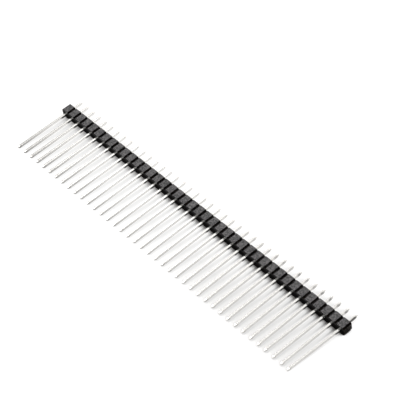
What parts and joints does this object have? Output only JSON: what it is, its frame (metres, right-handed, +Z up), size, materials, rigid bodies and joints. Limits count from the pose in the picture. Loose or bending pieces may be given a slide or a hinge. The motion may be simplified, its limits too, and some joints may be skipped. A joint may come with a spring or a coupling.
{
  "type": "pin header strip",
  "caption": "Straight single-row breakaway pin header: a black notched housing strip holding a row of square tinned pins, long on one side and short on the other.",
  "frame": {"origin": "on the surface that the strip lies on, under the middle of the whole part", "axes": "+X along the row from the first pin to the last, +Y the way the short solder tails point, +Z up as the strip lies at rest; the pins slope down by 3.6 degrees towards -Y, because the strip rests on its housing's edge and its long tips"},
  "size_m": [0.1016, 0.021, 0.0027],
  "materials": {
    "housing": "fine satin grain, moulded black thermoplastic",
    "pins": "smooth tin plating over drawn brass wire"
  },
  "bodies": {
    "root": {"housing": "housing", "pin_01": "pins", "pin_02": "pins", "pin_03": "pins", "pin_04": "pins", "pin_05": "pins", "pin_06": "pins", "pin_07": "pins", "pin_08": "pins", "pin_09": "pins", "pin_10": "pins", "pin_11": "pins", "pin_12": "pins", "pin_13": "pins", "pin_14": "pins", "pin_15": "pins", "pin_16": "pins", "pin_17": "pins", "pin_18": "pins", "pin_19": "pins", "pin_20": "pins", "pin_21": "pins", "pin_22": "pins", "pin_23": "pins", "pin_24": "pins", "pin_25": "pins", "pin_26": "pins", "pin_27": "pins", "pin_28": "pins", "pin_29": "pins", "pin_30": "pins", "pin_31": "pins", "pin_32": "pins", "pin_33": "pins", "pin_34": "pins", "pin_35": "pins", "pin_36": "pins", "pin_37": "pins", "pin_38": "pins", "pin_39": "pins", "pin_40": "pins"}
  },
  "joints": []
}
